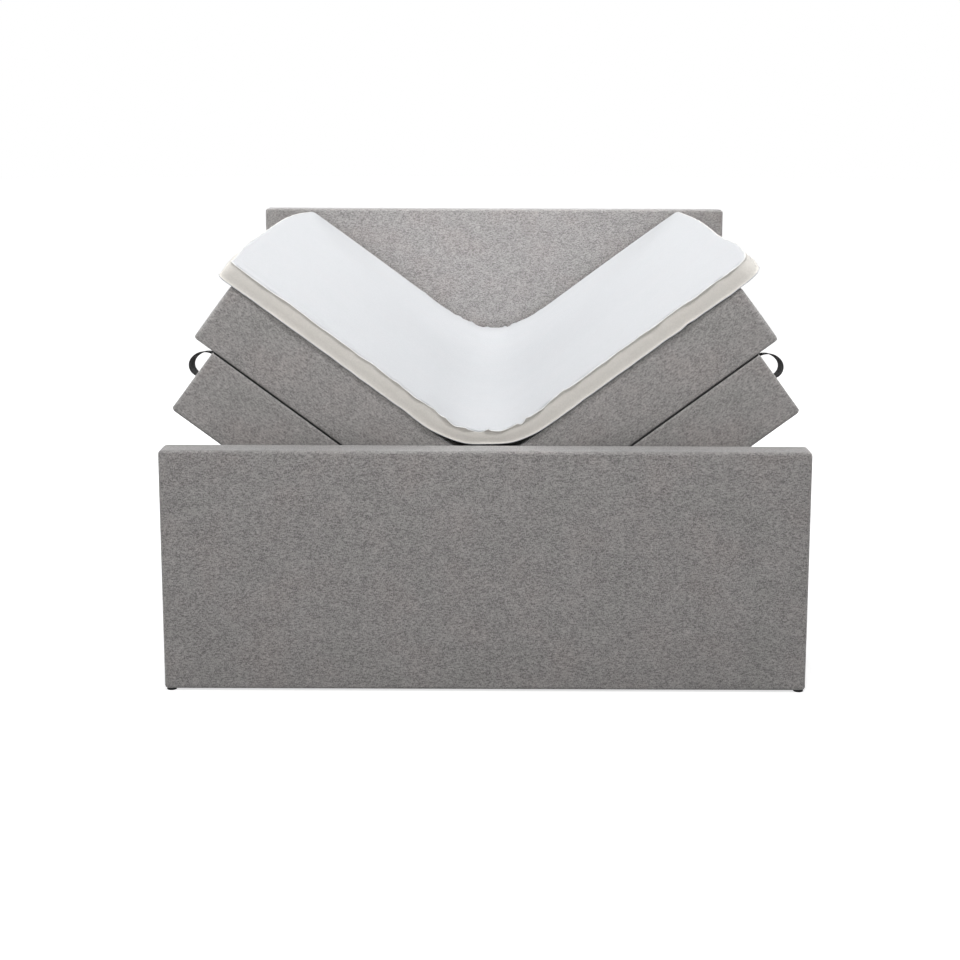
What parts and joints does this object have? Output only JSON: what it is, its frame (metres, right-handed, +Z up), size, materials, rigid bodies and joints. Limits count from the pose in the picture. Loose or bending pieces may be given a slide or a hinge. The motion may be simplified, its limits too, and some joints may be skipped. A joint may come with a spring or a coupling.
{
  "type": "storage box spring bed",
  "caption": "Double bed with upholstered head and foot boards and two box-spring lids that turn up and outwards over a storage box, each with its mattress, under one bending topper.",
  "frame": {"origin": "centre of the footprint on the floor", "axes": "+Z up, X across the bed, -Y towards the foot end, +Y towards the head end"},
  "size_m": [1.84, 2.22, 1.24],
  "materials": {
    "cover_cloth": "matte",
    "mattress_cloth": "matte",
    "topper_cloth": "matte",
    "foam": "matte",
    "pocket_cloth": "matte",
    "dust_cloth": "matte",
    "webbing": "matte",
    "board_wood": "matte",
    "panel_wood": "matte",
    "black_steel": "satin",
    "zinc_steel": "satin",
    "rod_chrome": "polished",
    "foot_plastic": "matte",
    "buffer_rubber": "matte"
  },
  "bodies": {
    "root": {"board_bolts": "zinc_steel", "board_spacers": "zinc_steel", "bracket_screws": "zinc_steel", "centre_divider": "panel_wood", "corner_blocks": "board_wood", "end_board_foot": "panel_wood", "end_board_head": "panel_wood", "feet": "foot_plastic", "floor_battens": "board_wood", "floor_panels": "panel_wood", "footboard_cover": "cover_cloth", "footboard_frame": "board_wood", "footboard_panels": "panel_wood", "gas_spring_studs": "zinc_steel", "headboard_cover": "cover_cloth", "headboard_frame": "board_wood", "headboard_panels": "panel_wood", "lid_buffers": "buffer_rubber", "pivot_brackets": "black_steel", "pivot_pins": "zinc_steel", "side_rail_covers": "cover_cloth", "side_rail_left": "panel_wood", "side_rail_right": "panel_wood", "topper_cover_middle": "topper_cloth", "topper_foam_middle": "foam"},
    "lid_left": {"gas_spring_brackets_left": "black_steel", "handle_clamps_left": "zinc_steel", "lid_cloth_left": "dust_cloth", "lid_cover_left": "cover_cloth", "lid_foam_left": "foam", "lid_frame_left": "board_wood", "lid_handle_left": "webbing", "lid_pivot_plates_left": "black_steel", "lid_slats_left": "board_wood", "lid_springs_left": "pocket_cloth"},
    "mattress_left": {"mattress_cover_left": "mattress_cloth", "mattress_foam_left": "foam", "mattress_springs_left": "pocket_cloth"},
    "topper_left": {"topper_cover_left": "topper_cloth", "topper_foam_left": "foam"},
    "cylinders_left": {"gas_cylinders_left": "black_steel"},
    "rods_left": {"gas_rods_left": "rod_chrome"},
    "lid_right": {"gas_spring_brackets_right": "black_steel", "handle_clamps_right": "zinc_steel", "lid_cloth_right": "dust_cloth", "lid_cover_right": "cover_cloth", "lid_foam_right": "foam", "lid_frame_right": "board_wood", "lid_handle_right": "webbing", "lid_pivot_plates_right": "black_steel", "lid_slats_right": "board_wood", "lid_springs_right": "pocket_cloth"},
    "mattress_right": {"mattress_cover_right": "mattress_cloth", "mattress_foam_right": "foam", "mattress_springs_right": "pocket_cloth"},
    "topper_right": {"topper_cover_right": "topper_cloth", "topper_foam_right": "foam"},
    "cylinders_right": {"gas_cylinders_right": "black_steel"},
    "rods_right": {"gas_rods_right": "rod_chrome"}
  },
  "joints": [
    {"name": "lid_left_turn", "type": "hinge", "parent": "root", "child": "lid_left", "pos_m": [-0.163, 0, 0.556], "axis": [0, 1, 0], "range_deg": [-36.7, 0], "deforming": ["topper_cover_middle", "topper_foam_middle"]},
    {"name": "mattress_left_slide", "type": "slide", "parent": "lid_left", "child": "mattress_left", "axis": [-0.8018, 0, 0.5976], "range_m": [-0.0705, 0]},
    {"name": "topper_left_turn", "type": "hinge", "parent": "root", "child": "topper_left", "pos_m": [-0.10008, 0, 0.7457], "axis": [0, 1, 0], "range_deg": [-36.8, 0], "deforming": ["topper_cover_middle", "topper_foam_middle"]},
    {"name": "gas_spring_left_turn", "type": "hinge", "parent": "root", "child": "cylinders_left", "pos_m": [-0.12, 0, 0.186], "axis": [0, 1, 0], "range_deg": [-19.22, 0]},
    {"name": "gas_spring_left_slide", "type": "slide", "parent": "cylinders_left", "child": "rods_left", "axis": [-0.7939, 0, 0.608], "range_m": [-0.19604, 0]},
    {"name": "lid_right_turn", "type": "hinge", "parent": "root", "child": "lid_right", "pos_m": [0.163, 0, 0.556], "axis": [0, -1, 0], "range_deg": [-36.7, 0], "deforming": ["topper_cover_middle", "topper_foam_middle"]},
    {"name": "mattress_right_slide", "type": "slide", "parent": "lid_right", "child": "mattress_right", "axis": [0.8018, 0, 0.5976], "range_m": [-0.0705, 0]},
    {"name": "topper_right_turn", "type": "hinge", "parent": "root", "child": "topper_right", "pos_m": [0.10008, 0, 0.7457], "axis": [0, -1, 0], "range_deg": [-36.8, 0], "deforming": ["topper_cover_middle", "topper_foam_middle"]},
    {"name": "gas_spring_right_turn", "type": "hinge", "parent": "root", "child": "cylinders_right", "pos_m": [0.12, 0, 0.186], "axis": [0, -1, 0], "range_deg": [-19.22, 0]},
    {"name": "gas_spring_right_slide", "type": "slide", "parent": "cylinders_right", "child": "rods_right", "axis": [0.7939, 0, 0.608], "range_m": [-0.19604, 0]}
  ],
  "couplings": [
    {"joint": "mattress_left_slide", "follows": "lid_left_turn", "m_per_rad": 0.10928},
    {"joint": "topper_left_turn", "follows": "lid_left_turn", "ratio": 1},
    {"joint": "gas_spring_left_turn", "follows": "lid_left_turn", "ratio": 0.52101},
    {"joint": "gas_spring_left_slide", "follows": "lid_left_turn", "m_per_rad": 0.30528},
    {"joint": "mattress_right_slide", "follows": "lid_right_turn", "m_per_rad": 0.10928},
    {"joint": "topper_right_turn", "follows": "lid_right_turn", "ratio": 1},
    {"joint": "gas_spring_right_turn", "follows": "lid_right_turn", "ratio": 0.52101},
    {"joint": "gas_spring_right_slide", "follows": "lid_right_turn", "m_per_rad": 0.30528}
  ]
}
